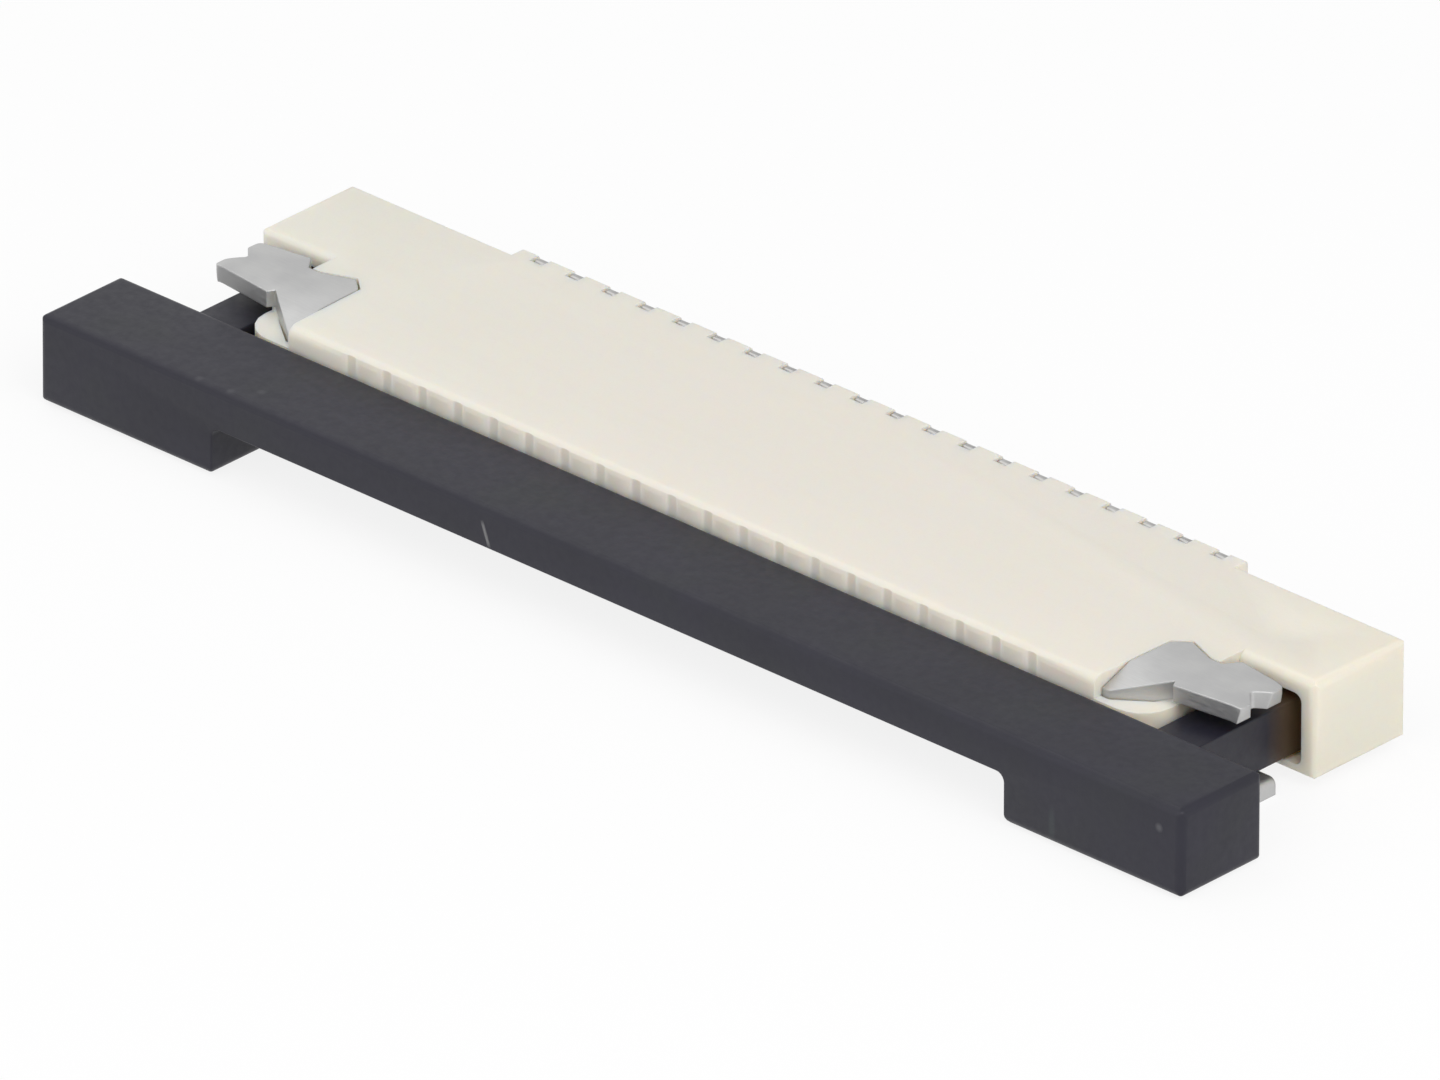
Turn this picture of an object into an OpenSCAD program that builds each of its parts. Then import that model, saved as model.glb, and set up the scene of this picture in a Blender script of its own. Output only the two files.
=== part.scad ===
// Fine-pitch board connector for a flat flexible cable, with a sliding lock.
// Lengths are in millimetres. X runs along the row of contacts, the cable enters
// from -Y under the lock bar, and Z = 0 is the face of the circuit board.

/* [Contact row] */
// Number of contacts
contact_count = 20; // [8:1:40]
// Distance from one contact to the next
pitch = 0.5; // [0.48:0.01:0.6]
// Thickness of the contact sheet
contact_t = 0.16; // [0.14:0.01:0.22]
// Length of a solder tail behind the housing
tail_l = 0.62; // [0.4:0.01:1]
// Height of a solder tail
tail_h = 0.13; // [0.08:0.01:0.2]
// Drop of a contact's rear post below the housing's top
post_drop = 0.02; // [0.01:0.01:0.15]
// Thickness of that post, at the back of its notch
post_d = 0.1; // [0.04:0.01:0.12]
// Height of the fixed upper beam of a contact
upper_beam_h = 0.13; // [0.08:0.01:0.15]
// Distance of the upper beam's end behind the housing's front
beam_set = 0.1; // [0.08:0.01:0.2]
// Height of the springing lower beam of a contact
lower_beam_h = 0.12; // [0.08:0.01:0.14]
// Rise of the contact point above the floor of the cable slot
contact_rise = 0.11; // [0.04:0.01:0.2]
// Length of the bump that carries the contact point
bump_l = 0.5; // [0.3:0.01:0.6]

/* [Housing] */
// Height of the housing above the board
housing_h = 1.25; // [1.2:0.01:1.6]
// Height of the housing's underside above the board
standoff = 0.04; // [0.02:0.01:0.1]
// Side wall between the cable slot and the outside
side_wall = 0.98; // [0.9:0.01:1.4]
// Reach of a guide wing beyond the side wall
wing_reach = 1.045; // [0.95:0.005:1.4]
// Height of a wing's underside above the board
wing_lift = 0.13; // [0.08:0.01:0.2]
// Outer wall of a wing at the mouth of its guide channel
mouth_wall = 0.19; // [0.17:0.005:0.3]
// Outer wall of a wing behind the mouth
channel_wall = 0.11; // [0.08:0.005:0.13]
// Thickness of the lip that stops the slider, at the mouth
mouth_lip = 0.3; // [0.14:0.01:0.36]
// Depth of the solid block behind the cable slot
rear_block = 0.85; // [0.7:0.01:1]
// Step of the contact row behind the wings
row_step = 0.15; // [0.12:0.01:0.25]
// Margin of that step beyond the last contact
row_margin = 0.3; // [0.22:0.01:0.5]
// Depth of the top notch behind each contact
rear_notch = 0.16; // [0.12:0.01:0.2]
// Width of the hollow flute above each contact's front end
flute_w = 0.3; // [0.2:0.01:0.36]
// Depth of that flute
flute_d = 0.03; // [0.02:0.005:0.05]
// Length of the sill that leads the cable in
sill_l = 0.2; // [0.1:0.01:0.4]
// Radius of the housing's outer edges
housing_r = 0.08; // [0.03:0.01:0.1]
// Radius of the long top edge above the lock bar
lip_r = 0.12; // [0.03:0.01:0.15]
// Radius of the wings' front and end edges
wing_r = 0.11; // [0.05:0.01:0.13]
// Radius of the upright front corners
front_corner_r = 0.4; // [0.1:0.01:0.45]
// Diameter of the dished moulding mark on top of the right wing
mark_w = 0.55; // [0.3:0.01:0.6]
// Depth of that dish
mark_drop = 0.05; // [0.01:0.005:0.06]
// Distance of the dish's middle from the wing's end
mark_set = 0.9; // [0.6:0.01:1]

/* [Cable slot] */
// Height of the slot's floor above the board
floor_z = 0.22; // [0.18:0.01:0.26]
// Height of the slot's ceiling above the board
ceiling_z = 0.84; // [0.8:0.01:0.9]
// Room beside the cable on each side
cable_side = 0.1; // [0.06:0.01:0.2]

/* [Slider] */
// Travel from locked to open
stroke = 0.8; // [0.6:0.01:1]
// Depth of the lock bar and its end blocks
bar_d = 1.23; // [0.9:0.01:1.5]
// Height of the slider's top above the board
slider_top = 1.035; // [1:0.005:1.1]
// Height of the bar's underside above the board
bar_under = 0.58; // [0.54:0.01:0.62]
// Height of the end blocks' underside above the board
block_lift = 0.02; // [0.02:0.01:0.1]
// Reach of an end block beyond the wing
block_overhang = 0.605; // [0.3:0.005:0.8]
// Gap between the cable slot's side and the end block
block_gap = 0.18; // [0.1:0.01:0.4]
// Gap between a guide arm and the outer wall at the channel's mouth
arm_side = 0.2; // [0.05:0.01:0.25]
// Drop of a guide arm's top below the hold-down above it
arm_drop = 0.16; // [0.1:0.01:0.25]
// Room between a guide arm and the hold-down's foot below it
arm_room = 0.08; // [0.05:0.01:0.2]
// Gap between a guide arm and the side wall
arm_gap = 0.07; // [0.05:0.01:0.1]
// Length of the barb at an arm's end
barb_l = 0.21; // [0.14:0.01:0.3]
// Distance of the arm's end from the wing's rear face, when locked
tip_set = 0.05; // [0.02:0.01:0.1]
// Gap between the tongue's end and the cable stop, when locked
tongue_set = 0.35; // [0.2:0.01:0.6]
// Radius of the slider's outer edges
slider_r = 0.1; // [0.03:0.01:0.12]

/* [Hold-downs] */
// Thickness of the hold-down sheet
clip_t = 0.19; // [0.15:0.01:0.2]
// Gap between a wing and the hold-down in front of it
clip_gap = 0.14; // [0.12:0.01:0.3]
// Width over the two tabs above the guide arm
tab_w = 0.85; // [0.7:0.01:1]
// Reach of the tabs beyond the side wall
tab_reach = 0.83; // [0.75:0.01:0.95]
// Depth of the notch between the tabs
tab_notch = 0.17; // [0.1:0.01:0.3]
// Taper of each tab towards its end
tab_taper = 0.1; // [0.04:0.01:0.15]
// Gap between the side wall and the tabs' inner rear corner
neck_gap = 0.17; // [0.1:0.01:0.25]
// Reach of the head into the housing's top
head_reach = 0.66; // [0.55:0.01:0.75]
// Reach of the head's sloping tip in front of the tabs
head_tip = 0.31; // [0.2:0.01:0.36]
// Flare of the head from its rear to its tip
head_flare = 0.03; // [0.01:0.01:0.1]
// Drop of the head's tip below the housing's top
tip_drop = 0.16; // [0.1:0.01:0.19]
// Ledge of the housing in front of the tabs
ledge_d = 0.42; // [0.34:0.01:0.6]
// Drop from the housing's top to that ledge
ledge_drop = 0.25; // [0.2:0.01:0.3]
// Width of the upright web and of the solder foot
foot_w = 0.56; // [0.4:0.01:0.6]
// Reach of the solder foot beyond the side wall
foot_reach = 0.77; // [0.5:0.01:0.9]
// Radius of the solder foot's upper end
foot_r = 0.08; // [0.03:0.01:0.12]
// Outer radius of the curl at the tabs' ends
curl_r = 0.6; // [0.4:0.01:0.9]
// Angle through which the tabs' ends curl down
curl_angle = 14; // [10:1:40]

/* [Fits] */
// Clearance on each side of a contact in its slot
slot_clear = 0.01; // [0.005:0.005:0.02]
// Clearance between sliding faces
slide_clear = 0.03; // [0.02:0.005:0.04]
// Clearance at the slider's two stops
stop_clear = 0.02; // [0.01:0.005:0.04]
// Clearance around a hold-down in its pocket
clip_clear = 0.015; // [0.01:0.005:0.03]

/* [Hidden] */
// Names of the pieces
function contact_name(i) = str("contact_", i < 9 ? "0" : "", i + 1);

// Cuts run past the faces that they open by this much
over = 0.2;
// Straight pieces that make up one rounded corner
arc_steps = 5;
// Sides of a full round
round_steps = 64;

// Half widths, from the cable outwards
row_x = (contact_count - 1) / 2 * pitch;
cable_w = (contact_count + 1) * pitch;
slot_x = cable_w / 2 + cable_side;
body_x = slot_x + side_wall;
wing_x = body_x + wing_reach;
slider_x = wing_x + block_overhang;
step_x = row_x + row_margin;
block_x = slot_x + block_gap;
arm_x = body_x + arm_gap;
arm_out_x = wing_x - mouth_wall - arm_side;

// Depths, with y = 0 at the wings' rear face for now
wing_d = mouth_lip + stop_clear + stroke + barb_l + tip_set;
tab_rear_y = -wing_d - clip_gap;
tab_front_y = tab_rear_y - tab_w;
front_y = tab_front_y - ledge_d;
bar_rear_y = front_y - stop_clear;
bar_front_y = bar_rear_y - bar_d;
tail_y = row_step + tail_l;
stop_y = -rear_block;

// The finished part is centred between the bar's front and the tails' ends
centre_y = (bar_front_y + tail_y) / 2;

// Heights of the sheet-metal clip, the arm below it and the arm's channel
clip_under = housing_h - clip_t;
arm_top = clip_under - arm_drop;
arm_under = clip_t + arm_room;
barb_top = clip_under - slide_clear;
channel_top = clip_under;
channel_under = arm_under - slide_clear;
tongue_top = ceiling_z - slide_clear;

// Contact blade: beams, base and the bump near the lower beam's tip
slot_w = contact_t + 2 * slot_clear;
upper_under = ceiling_z + slot_clear;
upper_top = upper_under + upper_beam_h;
lower_top = floor_z - slot_clear;
lower_under = lower_top - lower_beam_h;
post_rear_y = row_step - slot_clear;
post_front_y = post_rear_y - post_d;
post_r = post_d / 3;
post_top = housing_h - post_drop;
upper_tip_y = front_y + beam_set;
bump_y = front_y + bump_l + sill_l / 2;
lower_tip_y = bump_y - bump_l / 2 - contact_t / 2;
blade_r = 0.04;

// Hold-down: web and foot stand under the middle of the tabs, and the head's tip
// slopes down from a bend in line with the neck
clip_mid_y = (tab_rear_y + tab_front_y) / 2;
head_x = body_x - head_reach;
tab_x = body_x + tab_reach;
web_x = head_x + clip_t / 3;
foot_rear_y = clip_mid_y + foot_w / 2;
foot_front_y = foot_rear_y - foot_w;
foot_x = body_x + foot_reach;
neck_x = body_x + clip_t / 4;
neck_d = tab_w / 5;
neck_y = tab_rear_y - neck_d;
head_mid_x = head_x + neck_d;
head_top_y = tab_rear_y - 2 * clip_clear;
root_x = body_x - clip_t / 4;
bend_y = tab_front_y + neck_d / 2;
tip_y = tab_front_y - head_tip;
bend_angle = atan(tip_drop / (bend_y - tip_y));
clip_r = 0.05;
ledge_z = housing_h - ledge_drop;
tip_z = housing_h - tip_drop;
slope_under_y = bend_y + clip_t * tan(bend_angle / 2);
tip_under = tip_z - clip_t / cos(bend_angle);
tip_x = head_x - head_flare;

// Angle brought between -180 and 180 degrees
function wrap(a) = a - 360 * round(a / 360);

// Corner b between its neighbours a and c, as points on an arc of radius r
function corner(a, b, c, r) =
    r <= 0 ? [b] :
    let (
        u = (a - b) / norm(a - b),
        v = (c - b) / norm(c - b),
        half = acos(u * v) / 2,
        middle = b + (u + v) / norm(u + v) * r / sin(half),
        first = b + u * r / tan(half) - middle,
        last = b + v * r / tan(half) - middle,
        start = atan2(first.y, first.x),
        sweep = wrap(atan2(last.y, last.x) - start)
    )
    [for (i = [0 : arc_steps])
        let (turn = start + sweep * i / arc_steps)
        middle + r * [cos(turn), sin(turn)]];

// Outline through the points [x, y, corner radius]
function soft(points) =
    let (n = len(points), xy = [for (p = points) [p.x, p.y]])
    [for (i = [0 : n - 1]) each corner(xy[(i + n - 1) % n], xy[i], xy[(i + 1) % n], points[i].z)];

// Rectangle between two corners, with one radius all round
function soft_rect(lo, hi, r) =
    soft([[lo.x, lo.y, r], [hi.x, lo.y, r], [hi.x, hi.y, r], [lo.x, hi.y, r]]);

// Moves the finished pieces to the part's own origin
module placed() {
    translate([0, -centre_y, 0])
        children();
}

// Extrudes a (y, z) outline along x, and a (x, z) outline along y
module along_x(x0, x1) {
    translate([x0, 0, 0])
        rotate([90, 0, 90])
            linear_extrude(x1 - x0)
                children();
}

module along_y(y0, y1) {
    translate([0, y1, 0])
        rotate([90, 0, 0])
            linear_extrude(y1 - y0)
                children();
}

module along_z(z0, z1) {
    translate([0, 0, z0])
        linear_extrude(z1 - z0)
            children();
}

module box(lo, hi) {
    translate(lo)
        cube(hi - lo);
}

// Both ends of the row: the child is drawn at +X and mirrored to -X
module both_ends() {
    children();
    mirror([1, 0, 0])
        children();
}

// Slot for one contact: floor, ceiling groove, rear block and the notch at its rear
module contact_slot() {
    along_x(-slot_w / 2, slot_w / 2) {
        translate([lower_tip_y - slot_w / 2, -over])
            square([stop_y - lower_tip_y + slot_w, floor_z + 2 * over]);
        translate([upper_tip_y - slot_clear, ceiling_z - over])
            square([stop_y - upper_tip_y + over, upper_top + slot_clear - ceiling_z + over]);
        translate([stop_y - over, -over])
            square([row_step - stop_y + 2 * over, upper_top + slot_clear + over]);
        translate([row_step - rear_notch, upper_top])
            square([rear_notch + over, housing_h - upper_top + over]);
    }
}

// Hollow flute in the front face, a shallow slice of an upright round
module flute() {
    r = (pow(flute_w / 2, 2) + pow(flute_d, 2)) / (2 * flute_d);
    translate([0, front_y + flute_d - r, ceiling_z - over])
        cylinder(h = housing_h - ceiling_z + 2 * over, r = r, $fn = round_steps);
}

// Dish of the moulding mark, the cap of a ball
module mark() {
    r = (pow(mark_w / 2, 2) + pow(mark_drop, 2)) / (2 * mark_drop);
    translate([wing_x - mark_set, -wing_d / 2, housing_h - mark_drop + r])
        sphere(r = r, $fn = round_steps);
}

// Block of the two wings, which runs through the body
module wing_block() {
    intersection() {
        along_x(-wing_x, wing_x)
            polygon(soft([
                [-wing_d, wing_lift, housing_r],
                [0, wing_lift, housing_r],
                [0, housing_h, housing_r],
                [-wing_d, housing_h, wing_r]
            ]));
        along_y(-wing_d, 0)
            polygon(soft([
                [-wing_x, wing_lift, housing_r],
                [wing_x, wing_lift, housing_r],
                [wing_x, housing_h, wing_r],
                [-wing_x, housing_h, wing_r]
            ]));
        along_z(wing_lift, housing_h)
            polygon(soft([
                [-wing_x, -wing_d, wing_r],
                [wing_x, -wing_d, wing_r],
                [wing_x, 0, housing_r],
                [-wing_x, 0, housing_r]
            ]));
    }
}

// Guide channel of one wing: a narrow mouth, then a wider run for the barb
module wing_channel() {
    mouth_x = wing_x - mouth_wall;
    run_x = wing_x - channel_wall;
    inner_x = arm_x - slide_clear;
    mouth_r = mouth_wall / 2;
    along_y(-wing_d - over, 0)
        polygon(soft([
            [inner_x, channel_under, 0],
            [mouth_x, channel_under, mouth_r],
            [mouth_x, channel_top, mouth_r],
            [inner_x, channel_top, 0]
        ]));
    box([inner_x, mouth_lip - wing_d, channel_under], [run_x, over, channel_top]);
}

// Pocket for the head of a hold-down, with a ledge before it, its web and its foot
module clip_pocket() {
    nose_y = tip_y - clip_clear;
    inner_nose = [tip_x - clip_clear, nose_y];
    outer_x = wing_x + over;
    intersection() {
        along_z(0, housing_h + over)
            polygon([
                [head_x - clip_clear, neck_y + clip_clear],
                [head_mid_x, head_top_y + 2 * clip_clear],
                [neck_x - neck_d + clip_clear, neck_y + clip_clear],
                [outer_x, neck_y + clip_clear],
                [outer_x, bend_y],
                [root_x + clip_clear, bend_y],
                [web_x + clip_clear, nose_y],
                inner_nose
            ]);
        along_x(inner_nose.x, outer_x)
            polygon([
                [tab_rear_y, clip_under],
                [slope_under_y, clip_under],
                [tip_y, tip_under],
                [nose_y, tip_under],
                [nose_y, housing_h + over],
                [tab_rear_y, housing_h + over]
            ]);
    }
    along_z(ledge_z, housing_h + over)
        polygon([
            inner_nose,
            [web_x, nose_y],
            [root_x, bend_y],
            [outer_x, bend_y],
            [outer_x, front_y - over],
            [inner_nose.x, front_y - over]
        ]);
    box(
        [web_x - clip_clear, foot_front_y - clip_clear, -over],
        [web_x + clip_t + clip_clear, foot_rear_y + clip_clear, clip_under + over]
    );
    box(
        [web_x - clip_clear, foot_front_y - clip_clear, -over],
        [outer_x, foot_rear_y + clip_clear, clip_t + clip_clear]
    );
}

// Moulded housing: body with a stepped contact row, two wings and a cable slot
module housing() {
    color("ivory")
    placed()
    difference() {
        union() {
            intersection() {
                along_z(standoff, housing_h)
                    polygon(soft([
                        [-body_x, front_y, front_corner_r],
                        [body_x, front_y, front_corner_r],
                        [body_x, 0, 0],
                        [-body_x, 0, 0]
                    ]));
                along_x(-body_x, body_x)
                    polygon(soft([
                        [front_y, standoff, 0],
                        [0, standoff, 0],
                        [0, housing_h, housing_r],
                        [front_y, housing_h, lip_r]
                    ]));
            }
            wing_block();
            along_x(-step_x, step_x)
                polygon(soft([
                    [stop_y, standoff, 0],
                    [row_step, standoff, 0],
                    [row_step, housing_h, housing_r / 2],
                    [stop_y, housing_h, 0]
                ]));
            along_x(-slot_x, slot_x)
                polygon([
                    [stop_y, standoff],
                    [stop_y, floor_z],
                    [front_y - sill_l / 2, floor_z],
                    [front_y - sill_l, (floor_z + standoff) / 2],
                    [front_y - sill_l, standoff]
                ]);
        }
        box([-slot_x, front_y - over, floor_z], [slot_x, stop_y, ceiling_z]);
        for (i = [0 : contact_count - 1])
            translate([i * pitch - row_x, 0, 0]) {
                contact_slot();
                flute();
            }
        both_ends() wing_channel();
        both_ends() clip_pocket();
        mark();
    }
}

// Guide arm with the barb that stops the slider at the mouth of the wing
module guide_arm() {
    end_y = -tip_set;
    barb_y = end_y - barb_l;
    barb_x = wing_x - channel_wall - slide_clear;
    box([arm_x, bar_rear_y - over, arm_under], [arm_out_x, end_y - barb_l / 2, arm_top]);
    along_z(arm_under, barb_top)
        polygon([
            [arm_x, barb_y],
            [barb_x, barb_y],
            [barb_x, end_y - barb_l / 2],
            [arm_out_x, end_y],
            [arm_x, end_y]
        ]);
}

// Slider: lock bar, end blocks, guide arms and the tongue that presses the cable
module slider() {
    tongue_x = slot_x - slide_clear;
    tongue_y = stop_y - tongue_set;
    color("#48484f")
    placed() {
        intersection() {
            along_y(bar_front_y, bar_rear_y)
                polygon(soft([
                    [-slider_x, block_lift, slider_r],
                    [-block_x, block_lift, slider_r],
                    [-block_x, bar_under, slider_r],
                    [block_x, bar_under, slider_r],
                    [block_x, block_lift, slider_r],
                    [slider_x, block_lift, slider_r],
                    [slider_x, slider_top, slider_r],
                    [-slider_x, slider_top, slider_r]
                ]));
            along_x(-slider_x, slider_x)
                polygon(soft_rect([bar_front_y, block_lift], [bar_rear_y, slider_top], slider_r));
            along_z(block_lift, slider_top)
                polygon(soft_rect([-slider_x, bar_front_y], [slider_x, bar_rear_y], slider_r));
        }
        along_x(-tongue_x, tongue_x)
            polygon([
                [bar_rear_y - over, bar_under],
                [tongue_y - slide_clear, bar_under],
                [tongue_y, (bar_under + tongue_top) / 2],
                [tongue_y, tongue_top],
                [bar_rear_y - over, tongue_top]
            ]);
        both_ends() guide_arm();
    }
}

// One fork-shaped contact, cut from sheet and set on edge
module contact(i) {
    color("silver")
    placed()
    translate([i * pitch - row_x, 0, 0])
        along_x(-contact_t / 2, contact_t / 2)
            polygon(soft([
                [row_step, 0, blade_r],
                [tail_y, 0, blade_r],
                [tail_y, tail_h, blade_r],
                [post_rear_y, tail_h, blade_r],
                [post_rear_y, post_top, post_r],
                [post_front_y, post_top, post_r],
                [post_front_y, upper_top, 0],
                [upper_tip_y, upper_top, blade_r],
                [upper_tip_y, upper_under, blade_r],
                [stop_y, upper_under, blade_r],
                [stop_y, lower_top, blade_r],
                [bump_y + bump_l / 2, lower_top, blade_r],
                [bump_y, floor_z + contact_rise, 2 * blade_r],
                [bump_y - bump_l / 2, lower_top, blade_r],
                [lower_tip_y, lower_top, blade_r],
                [lower_tip_y, lower_under, blade_r],
                [row_step - tail_l / 2, lower_under, blade_r]
            ]));
}

// Bent hold-down: head and tabs on top, a web through the side wall and a foot
module hold_down() {
    notch_w = tab_w / 5;
    curl_x = tab_x - curl_r * sin(curl_angle);
    turns = [for (i = [0 : arc_steps]) curl_angle * i / arc_steps];
    curl_in = curl_r - clip_t;
    outer = [for (a = turns) [curl_x + curl_r * sin(a), housing_h - curl_r * (1 - cos(a))]];
    inner = [for (i = [arc_steps : -1 : 0])
        [curl_x + curl_in * sin(turns[i]), clip_under - curl_in * (1 - cos(turns[i]))]];
    intersection() {
        along_z(0, housing_h)
            polygon(soft([
                [head_x, neck_y, clip_r],
                [head_mid_x, head_top_y, 0],
                [neck_x - neck_d, neck_y, 0],
                [neck_x, neck_y, 0],
                [body_x + neck_gap, tab_rear_y, 0],
                [tab_x, tab_rear_y - tab_taper, clip_r],
                [tab_x, clip_mid_y + notch_w, clip_r],
                [tab_x - tab_notch, clip_mid_y, clip_r],
                [tab_x, clip_mid_y - notch_w, clip_r],
                [tab_x, tab_front_y + tab_taper, clip_r],
                [body_x, tab_front_y, 0],
                [root_x, bend_y, 0],
                [web_x, tip_y, 0],
                [tip_x, tip_y, 0]
            ]));
        union() {
            along_x(tip_x, root_x)
                polygon([
                    [tip_y, tip_under],
                    [tip_y, tip_z],
                    [bend_y, housing_h],
                    [tab_rear_y, housing_h],
                    [tab_rear_y, clip_under],
                    [slope_under_y, clip_under]
                ]);
            along_y(front_y, 0)
                polygon(concat([[root_x, clip_under], [root_x, housing_h]], outer, inner));
        }
    }
    box([web_x, foot_front_y, 0], [web_x + clip_t, foot_rear_y, clip_under + clip_t / 3]);
    along_y(foot_front_y, foot_rear_y)
        polygon(soft([[web_x, 0, 0], [foot_x, 0, 0], [foot_x, clip_t, foot_r], [web_x, clip_t, 0]]));
}

module hold_down_left() {
    color("lightgrey")
    placed()
    mirror([1, 0, 0])
        hold_down();
}

module hold_down_right() {
    color("lightgrey")
    placed()
    hold_down();
}

housing();
slider();
hold_down_left();
hold_down_right();
for (i = [0 : contact_count - 1])
    contact(i);
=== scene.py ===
"""Looks of a slide-lock connector for a flat flexible cable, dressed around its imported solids."""
import math

import bpy
from mathutils import Matrix, Vector

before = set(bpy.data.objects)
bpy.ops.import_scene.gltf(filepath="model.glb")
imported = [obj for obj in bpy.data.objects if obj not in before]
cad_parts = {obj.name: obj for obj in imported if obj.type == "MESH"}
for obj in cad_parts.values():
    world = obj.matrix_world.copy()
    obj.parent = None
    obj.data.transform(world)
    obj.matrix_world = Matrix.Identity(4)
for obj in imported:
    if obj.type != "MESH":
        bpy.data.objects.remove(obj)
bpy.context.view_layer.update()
scene = bpy.context.scene
MM = 0.001

# The photograph's frame and the view that it was taken from
PHOTO_W = 1440
SENSOR_W = 36.0
PIXELS_PER_MM = 97.891
DISTANCE_MM = 490.0
AZIMUTH = math.radians(42.948)
ELEVATION = math.radians(27.665)
ROLL = math.radians(0.153)
AIM = Vector((-0.061, -0.613, 0.565)) * MM
CLIP_START = 10 * MM
CLIP_END = 2000 * MM

# Fill light, the backdrop and the heights between which it turns grey, and the floor with its share of glow
WHITE = (1.0, 1.0, 1.0, 1.0)
SKY_LIGHT = 0.405
SKY_HIGH = 0.72
SKY_FADE = (0.05, 0.35)
FLOOR_HALF = 1.0
FLOOR_DROP = 0.002 * MM
FLOOR_PAPER = (0.93, 0.93, 0.93, 1.0)
FLOOR_GLOW = 0.85

# Edges: what counts as flat or sharp, and radii in millimetres with their steps or samples
FLAT_ANGLE = math.radians(0.5)
SHARP_ANGLE = math.radians(32)
MERGE_WITHIN = 1e-4 * MM
SLIDER_EDGE_R = 0.02
SLIDER_EDGE_STEPS = 5
CONTACT_EDGE_R = 0.012
CONTACT_EDGE_STEPS = 2
CLIP_EDGE_R = 0.025
CLIP_EDGE_SAMPLES = 6

# Tones of the ivory plastic, and the stretches over which they change from left to right
IVORY_LEFT = (0.800, 0.780, 0.700)
IVORY_MIDDLE = (0.793, 0.750, 0.680)
IVORY_RIGHT = (0.788, 0.742, 0.635)
IVORY_CLOUD = (0.785, 0.752, 0.665)
IVORY_FLOW = (0.765, 0.725, 0.630)
IVORY_SPECK = (0.720, 0.680, 0.600)
LEFT_FADE_X = (-6.5, -1.0)
RIGHT_FADE_X = (5.0, 7.4)

# Tones of the black plastic and of the marks on it
BLACK_DEEP = (0.0090, 0.0086, 0.0165)
BLACK_PALE = (0.0125, 0.0117, 0.0230)
BLACK_GREEN = (0.0125, 0.0145, 0.0175)
SCRATCH_TONE = (0.16, 0.16, 0.165)
STREAK_TONE = (0.045, 0.06, 0.06)
SPOT_TONE = (0.11, 0.11, 0.12)

# Tones of the hold-downs' plated sheet and of the contacts' tin plate
CLIP_DARK = (0.515, 0.515, 0.515)
CLIP_PALE = (0.56, 0.56, 0.555)
TIN_DARK = (0.47, 0.464, 0.455)
TIN_PALE = (0.54, 0.535, 0.525)

# Marks of handling on the slider's front and top, with the strength of the fainter ones
SLIDER_FRONT_Y = -2.405
SLIDER_TOP_Z = 1.035
SCRATCH_START = (-1.713, SLIDER_FRONT_Y, 0.864)
SCRATCH_END = (-1.615, SLIDER_FRONT_Y, 0.611)
SCRATCH_W = 0.045
SCRATCH_DEPTH = 0.006
STREAK_X = 6.2
STREAK_START = (STREAK_X, SLIDER_FRONT_Y, 0.43)
STREAK_END = (STREAK_X, SLIDER_FRONT_Y, 0.07)
STREAK_W = 0.09
STREAK_STRENGTH = 0.3
SPOT_R = 0.06
FRONT_SPOT = (7.67, SLIDER_FRONT_Y, 0.75)
FRONT_SPOT_STRENGTH = 0.5
TOP_SPOTS_XY = [(-5.78, -2.32), (-5.35, -2.3), (-5.1, -2.1)]
TOP_SPOT_STRENGTH = 0.2

# Shares of a mark's width or radius where it begins to fade and is gone, and its reach behind its face
MARK_CORE = 0.2
MARK_RIM = 0.6
MARK_OVERRUN = 0.5
SPOT_CORE = 0.3
MARK_SKIN = (0.01, 0.03)

# The wings' mouths, where the warm bounce light from their ivory walls is painted into the colour of the
# arms inside them
MOUTH_PAINTED_LIGHT = (0.115, 0.076, 0.040)
MOUTH_X = (5.8, 6.2)
MOUTH_FRONT_Y = (-0.05, 0.4)
MOUTH_REAR_Y = (0.55, 0.8)


# Objects and nodes

def add_object(name, data):
    """New object with that data, linked to the scene."""
    item = bpy.data.objects.new(name, data)
    scene.collection.objects.link(item)
    return item


def empty_tree(owner):
    """Node tree of a material or a world, without any nodes."""
    owner.use_nodes = True
    owner.node_tree.nodes.clear()
    return owner.node_tree


def add_node(tree, kind, sockets=None, **settings):
    """New node with its settings and its unlinked sockets filled in."""
    node = tree.nodes.new(kind)
    for name, value in settings.items():
        setattr(node, name, value)
    for name, value in (sockets or {}).items():
        node.inputs[name].default_value = value
    return node


def axis(tree, place, name):
    """One coordinate of the place."""
    node = add_node(tree, "ShaderNodeSeparateXYZ")
    tree.links.new(place, node.inputs[0])
    return node.outputs[name]


def ranged(tree, value, low, high, to_low=0.0, to_high=1.0):
    """The value's range from low to high carried to another one, and held at its ends."""
    sockets = {"From Min": low, "From Max": high, "To Min": to_low, "To Max": to_high}
    node = add_node(tree, "ShaderNodeMapRange", sockets)
    tree.links.new(value, node.inputs["Value"])
    return node.outputs["Result"]


def falling(tree, value, low, high):
    """1 up to low and 0 from high on."""
    return ranged(tree, value, low, high, to_low=1.0, to_high=0.0)


def scaled(tree, value, strength):
    """A value from 0 to 1 carried to the range from 0 to that strength."""
    return ranged(tree, value, low=0.0, high=1.0, to_low=0.0, to_high=strength)


def product(tree, *values):
    """All these values multiplied."""
    result = values[0]
    for value in values[1:]:
        node = add_node(tree, "ShaderNodeMath", operation="MULTIPLY")
        tree.links.new(result, node.inputs[0])
        tree.links.new(value, node.inputs[1])
        result = node.outputs[0]
    return result


def unsigned(tree, value):
    """The value without its sign."""
    node = add_node(tree, "ShaderNodeMath", operation="ABSOLUTE")
    tree.links.new(value, node.inputs[0])
    return node.outputs[0]


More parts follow.
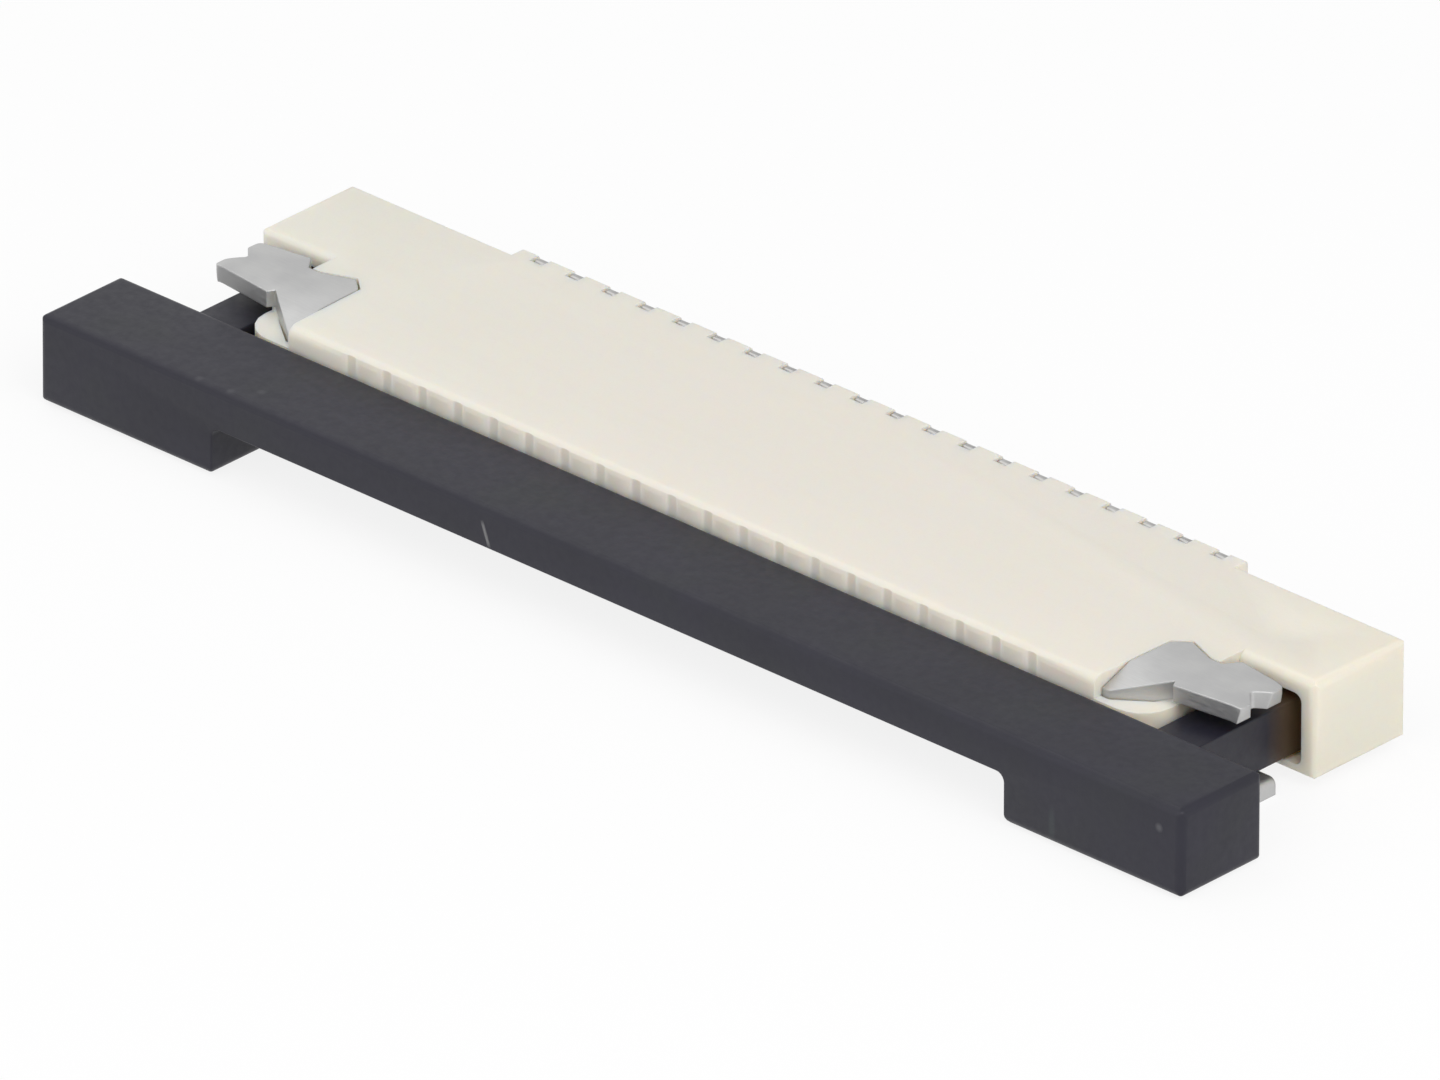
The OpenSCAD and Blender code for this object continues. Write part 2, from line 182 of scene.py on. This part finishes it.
def in_mm(tree, place):
    """A place in metres carried to millimetres."""
    node = add_node(tree, "ShaderNodeVectorMath", {"Scale": 1 / MM}, operation="SCALE")
    tree.links.new(place, node.inputs[0])
    return node.outputs[0]


# Camera, light and floor

def direction(azimuth, elevation):
    """Unit vector from the object towards a viewer or a lamp."""
    flat = math.cos(elevation)
    return Vector((math.sin(azimuth) * flat, -math.cos(azimuth) * flat, math.sin(elevation)))


def make_camera():
    """Camera that takes the photograph's view."""
    data = bpy.data.cameras.new("photo_camera")
    data.sensor_width = SENSOR_W
    data.lens = PIXELS_PER_MM * DISTANCE_MM * SENSOR_W / PHOTO_W
    data.clip_start = CLIP_START
    data.clip_end = CLIP_END
    camera = add_object("photo_camera", data)
    back = direction(AZIMUTH, ELEVATION)
    stand = Matrix.Translation(AIM + back * DISTANCE_MM * MM)
    turn = (-back).to_track_quat("-Z", "Y").to_matrix().to_4x4()
    camera.matrix_world = stand @ turn @ Matrix.Rotation(ROLL, 4, "Z")
    scene.camera = camera


def seen_directly(tree):
    """1 for rays from the camera, a mirror or glass, and 0 for those that carry light."""
    path = add_node(tree, "ShaderNodeLightPath")
    first = add_node(tree, "ShaderNodeMath", operation="MAXIMUM")
    both = add_node(tree, "ShaderNodeMath", operation="MAXIMUM")
    tree.links.new(path.outputs["Is Camera Ray"], first.inputs[0])
    tree.links.new(path.outputs["Is Glossy Ray"], first.inputs[1])
    tree.links.new(first.outputs[0], both.inputs[0])
    tree.links.new(path.outputs["Is Transmission Ray"], both.inputs[1])
    return both.outputs[0]


def make_world():
    """Even fill light, and a backdrop that is white at the horizon and greyer higher up."""
    world = bpy.data.worlds.new("studio")
    tree = empty_tree(world)
    fill = add_node(tree, "ShaderNodeBackground", {"Color": WHITE, "Strength": SKY_LIGHT})
    backdrop = add_node(tree, "ShaderNodeBackground", {"Color": WHITE})
    way = add_node(tree, "ShaderNodeTexCoord").outputs["Generated"]
    dimmed = ranged(tree, axis(tree, way, "Z"), *SKY_FADE, to_low=1.0, to_high=SKY_HIGH)
    choose = add_node(tree, "ShaderNodeMixShader")
    out = add_node(tree, "ShaderNodeOutputWorld")
    tree.links.new(dimmed, backdrop.inputs["Strength"])
    tree.links.new(seen_directly(tree), choose.inputs["Fac"])
    tree.links.new(fill.outputs[0], choose.inputs[1])
    tree.links.new(backdrop.outputs[0], choose.inputs[2])
    tree.links.new(choose.outputs[0], out.inputs["Surface"])
    scene.world = world


def add_lamp(name, azimuth, elevation, distance, size, level):
    """Square soft box; level is the brightness that it gives a white face turned towards it."""
    data = bpy.data.lights.new(name, "AREA")
    data.shape = "SQUARE"
    data.size = size
    data.energy = level * math.pi ** 2 * distance ** 2
    lamp = add_object(name, data)
    towards = direction(math.radians(azimuth), math.radians(elevation))
    turn = towards.to_track_quat("Z", "Y").to_matrix().to_4x4()
    lamp.matrix_world = Matrix.Translation(towards * distance) @ turn


def floor_white():
    """White paper that takes shadows, with a glow where it is seen directly."""
    material = bpy.data.materials.new("floor_white")
    tree = empty_tree(material)
    paper = add_node(tree, "ShaderNodeBsdfDiffuse", {"Color": FLOOR_PAPER})
    glow = add_node(tree, "ShaderNodeEmission", {"Color": WHITE, "Strength": 1.0})
    mix = add_node(tree, "ShaderNodeMixShader")
    out = add_node(tree, "ShaderNodeOutputMaterial")
    tree.links.new(scaled(tree, seen_directly(tree), FLOOR_GLOW), mix.inputs["Fac"])
    tree.links.new(paper.outputs[0], mix.inputs[1])
    tree.links.new(glow.outputs[0], mix.inputs[2])
    tree.links.new(mix.outputs[0], out.inputs["Surface"])
    return material


def make_floor():
    """Plain square floor just under the part."""
    around = [(-1, -1), (1, -1), (1, 1), (-1, 1)]
    corners = [(x * FLOOR_HALF, y * FLOOR_HALF, -FLOOR_DROP) for x, y in around]
    mesh = bpy.data.meshes.new("floor")
    mesh.from_pydata(corners, [], [(0, 1, 2, 3)])
    mesh.materials.append(floor_white())
    floor = add_object("floor", mesh)


# Soft edges. The solids keep their own meshes; modifiers round what they show

def geometry_group(name):
    """Empty geometry node tree with one mesh in and one mesh out."""
    tree = bpy.data.node_groups.new(name, "GeometryNodeTree")
    for way in ("INPUT", "OUTPUT"):
        tree.interface.new_socket("Geometry", in_out=way, socket_type="NodeSocketGeometry")
    return tree, add_node(tree, "NodeGroupInput"), add_node(tree, "NodeGroupOutput")


def joined_group():
    """Drops the stored normals and joins the corners that the faces share."""
    tree, first, last = geometry_group("join_corners")
    plain = add_node(tree, "GeometryNodeRemoveAttribute", {"Name": "custom_normal"})
    merge = add_node(tree, "GeometryNodeMergeByDistance", {"Distance": MERGE_WITHIN})
    tree.links.new(first.outputs[0], plain.inputs["Geometry"])
    tree.links.new(plain.outputs["Geometry"], merge.inputs["Geometry"])
    tree.links.new(merge.outputs["Geometry"], last.inputs[0])
    return tree


def smooth_group():
    """Shades faces smooth and keeps the edges that are still sharp."""
    tree, first, last = geometry_group("smooth_faces")
    faces = add_node(tree, "GeometryNodeSetShadeSmooth", {"Shade Smooth": True}, domain="FACE")
    angle = add_node(tree, "GeometryNodeInputMeshEdgeAngle")
    blunt = add_node(tree, "FunctionNodeCompare", data_type="FLOAT", operation="LESS_THAN")
    blunt.inputs["B"].default_value = SHARP_ANGLE
    edges = add_node(tree, "GeometryNodeSetShadeSmooth", domain="EDGE")
    tree.links.new(first.outputs[0], faces.inputs["Geometry"])
    tree.links.new(faces.outputs["Geometry"], edges.inputs["Geometry"])
    tree.links.new(angle.outputs["Unsigned Angle"], blunt.inputs["A"])
    tree.links.new(blunt.outputs["Result"], edges.inputs["Shade Smooth"])
    tree.links.new(edges.outputs["Geometry"], last.inputs[0])
    return tree


JOINED = joined_group()
SMOOTH = smooth_group()


def soften(names, radius_mm=0.0, steps=0):
    """Joins and smooths the faces of these solids, and rounds their sharp edges if a radius is given."""
    for name in names:
        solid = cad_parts[name]
        solid.modifiers.new("joined", "NODES").node_group = JOINED
        flat = solid.modifiers.new("flat_faces", "DECIMATE")
        flat.decimate_type = "DISSOLVE"
        flat.angle_limit = FLAT_ANGLE
        if radius_mm > 0:
            edge = solid.modifiers.new("soft_edges", "BEVEL")
            edge.width = radius_mm * MM
            edge.segments = steps
            edge.limit_method = "ANGLE"
            edge.angle_limit = SHARP_ANGLE
            edge.use_clamp_overlap = False
            edge.loop_slide = False
        solid.modifiers.new("smooth", "NODES").node_group = SMOOTH


# Patterns, laid out in millimetres

def stretched(tree, place, factors):
    """The place with each axis multiplied, so that a pattern runs along the least one."""
    node = add_node(tree, "ShaderNodeVectorMath", operation="MULTIPLY")
    tree.links.new(place, node.inputs[0])
    node.inputs[1].default_value = factors
    return node.outputs[0]


def noise(tree, place, per_mm, detail):
    """Noise from 0 to 1 with about that many features in a millimetre."""
    node = add_node(tree, "ShaderNodeTexNoise", {"Scale": per_mm, "Detail": detail})
    tree.links.new(place, node.inputs["Vector"])
    return node.outputs["Fac"]


def pattern(tree, place, per_mm, detail, span, reach=(0.0, 1.0)):
    """Noise with that span of its values carried to the reach, and held at its ends."""
    return ranged(tree, noise(tree, place, per_mm, detail), *span, *reach)


def blended(tree, factor, first, second):
    """Mix of two colours; each is a socket or an RGB triple."""
    node = add_node(tree, "ShaderNodeMix", data_type="RGBA")
    tree.links.new(factor, node.inputs["Factor"])
    for socket, colour in ((node.inputs["A"], first), (node.inputs["B"], second)):
        if isinstance(colour, tuple):
            socket.default_value = colour + (1.0,)
        else:
            tree.links.new(colour, socket)
    return node.outputs["Result"]


def bumped(tree, height, depth_mm, before=None):
    """Bump of that depth, on top of another one if there is one."""
    node = add_node(tree, "ShaderNodeBump", {"Strength": 1.0, "Distance": depth_mm * MM})
    tree.links.new(height, node.inputs["Height"])
    if before is not None:
        tree.links.new(before, node.inputs["Normal"])
    return node.outputs["Normal"]


def rounded(tree, radius_mm, samples):
    """Normal that turns softly over the edges."""
    node = add_node(tree, "ShaderNodeBevel", {"Radius": radius_mm * MM}, samples=samples)
    return node.outputs["Normal"]


def along(tree, offset, way):
    """Length of the offset along a unit direction."""
    node = add_node(tree, "ShaderNodeVectorMath", operation="DOT_PRODUCT")
    tree.links.new(offset, node.inputs[0])
    node.inputs[1].default_value = way
    return node.outputs["Value"]


def scratch(tree, place, start, end, width):
    """1 on a straight mark from start to end, which lie on a face that looks along Y, and 0 around it."""
    run = Vector(end) - Vector(start)
    way = run.normalized()
    across = (-way.z, 0.0, way.x)
    inwards = (0.0, 1.0, 0.0)
    overrun = MARK_OVERRUN * width
    node = add_node(tree, "ShaderNodeVectorMath", operation="SUBTRACT")
    tree.links.new(place, node.inputs[0])
    node.inputs[1].default_value = start
    offset = node.outputs[0]
    side = unsigned(tree, along(tree, offset, across))
    near = falling(tree, side, MARK_CORE * width, MARK_RIM * width)
    length = along(tree, offset, way)
    begun = ranged(tree, length, -overrun, width)
    unended = falling(tree, length, run.length - width, run.length + overrun)
    face = falling(tree, along(tree, offset, inwards), *MARK_SKIN)
    return product(tree, near, begun, unended, face)


def spot(tree, place, centre, radius):
    """1 in the middle of a small round mark and 0 outside it."""
    node = add_node(tree, "ShaderNodeVectorMath", operation="DISTANCE")
    tree.links.new(place, node.inputs[0])
    node.inputs[1].default_value = centre
    return falling(tree, node.outputs["Value"], SPOT_CORE * radius, radius)


def painted_light_in_mouths(tree):
    """Mask of the painted warm light: 1 inside the wings' mouths and 0 elsewhere, in the part's frame, so
    it doesn't follow the slider.
    """
    place = in_mm(tree, add_node(tree, "ShaderNodeNewGeometry").outputs["Position"])
    depth = axis(tree, place, "Y")
    entered = ranged(tree, depth, *MOUTH_FRONT_Y)
    not_past = falling(tree, depth, *MOUTH_REAR_Y)
    at_end = ranged(tree, unsigned(tree, axis(tree, place, "X")), *MOUTH_X)
    return product(tree, entered, not_past, at_end)


# Materials

def new_material(name, uniform):
    """Principled material with these uniform values, and the place on its piece in millimetres."""
    material = bpy.data.materials.new(name)
    tree = empty_tree(material)
    shader = add_node(tree, "ShaderNodeBsdfPrincipled", uniform)
    out = add_node(tree, "ShaderNodeOutputMaterial")
    tree.links.new(shader.outputs[0], out.inputs["Surface"])
    place = in_mm(tree, add_node(tree, "ShaderNodeTexCoord").outputs["Object"])
    return material, tree, shader, place


def link_looks(tree, shader, tone, rough, normal):
    """Gives the shader its patterns of tone, roughness and relief."""
    tree.links.new(tone, shader.inputs["Base Color"])
    tree.links.new(rough, shader.inputs["Roughness"])
    tree.links.new(normal, shader.inputs["Normal"])


def housing_plastic():
    """Ivory moulded plastic with faint flow tints and a fine eroded grain."""
    uniform = {
        "Specular IOR Level": 0.35,
        "Subsurface Weight": 0.7,
        "Subsurface Radius": (1.0, 0.7, 0.4),
        "Subsurface Scale": 0.2 * MM,
    }
    material, tree, shader, place = new_material("housing_plastic", uniform)
    across = axis(tree, place, "X")
    tone = blended(tree, ranged(tree, across, *LEFT_FADE_X), IVORY_LEFT, IVORY_MIDDLE)
    tone = blended(tree, ranged(tree, across, *RIGHT_FADE_X), tone, IVORY_RIGHT)
    cloud = pattern(tree, place, per_mm=0.6, detail=2.0, span=(0.35, 0.7), reach=(0.0, 0.5))
    tone = blended(tree, cloud, tone, IVORY_CLOUD)
    flow_place = stretched(tree, place, factors=(0.8, 6.0, 6.0))
    flow = pattern(tree, flow_place, per_mm=1.0, detail=3.0, span=(0.45, 0.8), reach=(0.0, 0.25))
    tone = blended(tree, flow, tone, IVORY_FLOW)
    speck = pattern(tree, place, per_mm=40.0, detail=2.0, span=(0.55, 0.75), reach=(0.0, 0.25))
    tone = blended(tree, speck, tone, IVORY_SPECK)
    rough = pattern(tree, place, per_mm=12.0, detail=3.0, span=(0.3, 0.7), reach=(0.42, 0.58))
    grain = noise(tree, place, per_mm=30.0, detail=3.0)
    swell = noise(tree, place, per_mm=2.5, detail=2.0)
    normal = bumped(tree, grain, depth_mm=0.0012)
    normal = bumped(tree, swell, depth_mm=0.003, before=normal)
    link_looks(tree, shader, tone, rough, normal)
    return material


def marked_tone(tree, place, tone, scrape):
    """The slider's tone with the scratch, the streak and the specks on it."""
    tone = blended(tree, scrape, tone, SCRATCH_TONE)
    streak = scratch(tree, place, STREAK_START, STREAK_END, STREAK_W)
    tone = blended(tree, scaled(tree, streak, STREAK_STRENGTH), tone, STREAK_TONE)
    spots = [(FRONT_SPOT, FRONT_SPOT_STRENGTH)]
    spots += [((x, y, SLIDER_TOP_Z), TOP_SPOT_STRENGTH) for x, y in TOP_SPOTS_XY]
    for centre, strength in spots:
        speck = scaled(tree, spot(tree, place, centre, SPOT_R), strength)
        tone = blended(tree, speck, tone, SPOT_TONE)
    return tone


def slider_plastic():
    """Near-black moulded plastic with a satin face, faint streaks along the bar, marks of handling, and
    painted warm light where the arms run inside the wings' mouths.
    """
    material, tree, shader, place = new_material("slider_plastic", {"Specular IOR Level": 0.43})
    cloud_place = stretched(tree, place, factors=(0.6, 1.0, 1.0))
    cloud = pattern(tree, cloud_place, per_mm=1.2, detail=3.0, span=(0.3, 0.7))
    tone = blended(tree, cloud, BLACK_DEEP, BLACK_PALE)
    green = pattern(tree, place, per_mm=0.9, detail=2.0, span=(0.5, 0.75), reach=(0.0, 0.6))
    tone = blended(tree, green, tone, BLACK_GREEN)
    # Painted warm bounce light on the arms inside the wings' mouths
    tone = blended(tree, painted_light_in_mouths(tree), tone, MOUTH_PAINTED_LIGHT)
    scrape = scratch(tree, place, SCRATCH_START, SCRATCH_END, SCRATCH_W)
    tone = marked_tone(tree, place, tone, scrape)
    rough = pattern(tree, place, per_mm=10.0, detail=3.0, span=(0.3, 0.7), reach=(0.42, 0.52))
    grain = noise(tree, place, per_mm=25.0, detail=3.0)
    swell = noise(tree, place, per_mm=1.5, detail=2.0)
    normal = bumped(tree, grain, depth_mm=0.0008)
    normal = bumped(tree, swell, depth_mm=0.002, before=normal)
    normal = bumped(tree, falling(tree, scrape, low=0.0, high=1.0), SCRATCH_DEPTH, before=normal)
    link_looks(tree, shader, tone, rough, normal)
    return material


def clip_metal():
    """Plated sheet with a satin rolled face and edges worn round."""
    material, tree, shader, place = new_material("clip_metal", {"Metallic": 1.0})
    cloud = pattern(tree, place, per_mm=3.0, detail=2.0, span=(0.35, 0.65))
    tone = blended(tree, cloud, CLIP_DARK, CLIP_PALE)
    grain_place = stretched(tree, place, factors=(1.0, 14.0, 14.0))
    grain = noise(tree, grain_place, per_mm=4.0, detail=3.0)
    rough = ranged(tree, grain, low=0.3, high=0.7, to_low=0.44, to_high=0.56)
    worn = rounded(tree, CLIP_EDGE_R, CLIP_EDGE_SAMPLES)
    normal = bumped(tree, grain, depth_mm=0.0008, before=worn)
    link_looks(tree, shader, tone, rough, normal)
    return material


def contact_metal():
    """Bright tin plate over stamped sheet."""
    material, tree, shader, place = new_material("contact_metal", {"Metallic": 1.0})
    cloud = pattern(tree, place, per_mm=6.0, detail=3.0, span=(0.35, 0.65))
    tone = blended(tree, cloud, TIN_DARK, TIN_PALE)
    rough = ranged(tree, cloud, low=0.0, high=1.0, to_low=0.26, to_high=0.4)
    grain = noise(tree, place, per_mm=16.0, detail=2.0)
    normal = bumped(tree, grain, depth_mm=0.0006)
    link_looks(tree, shader, tone, rough, normal)
    return material


def dress(names, material):
    """Gives these solids their finish."""
    for name in names:
        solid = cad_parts[name]
        solid.data.materials.clear()
        solid.data.materials.append(material)


# The studio

scene.view_settings.view_transform = "Standard"
make_camera()
make_world()
make_floor()
add_lamp("key", azimuth=77.0, elevation=43.0, distance=0.12, size=0.10, level=0.59)
add_lamp("front", azimuth=-6.0, elevation=34.0, distance=0.13, size=0.15, level=0.43)
add_lamp("left", azimuth=-100.0, elevation=50.0, distance=0.13, size=0.11, level=0.16)

# The connector

clips = ["hold_down_left", "hold_down_right"]
contacts = sorted(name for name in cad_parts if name.startswith("contact_"))
soften(["housing"])
soften(["slider"], SLIDER_EDGE_R, SLIDER_EDGE_STEPS)
soften(clips)
soften(contacts, CONTACT_EDGE_R, CONTACT_EDGE_STEPS)
dress(["housing"], housing_plastic())
dress(["slider"], slider_plastic())
dress(clips, clip_metal())
dress(contacts, contact_metal())
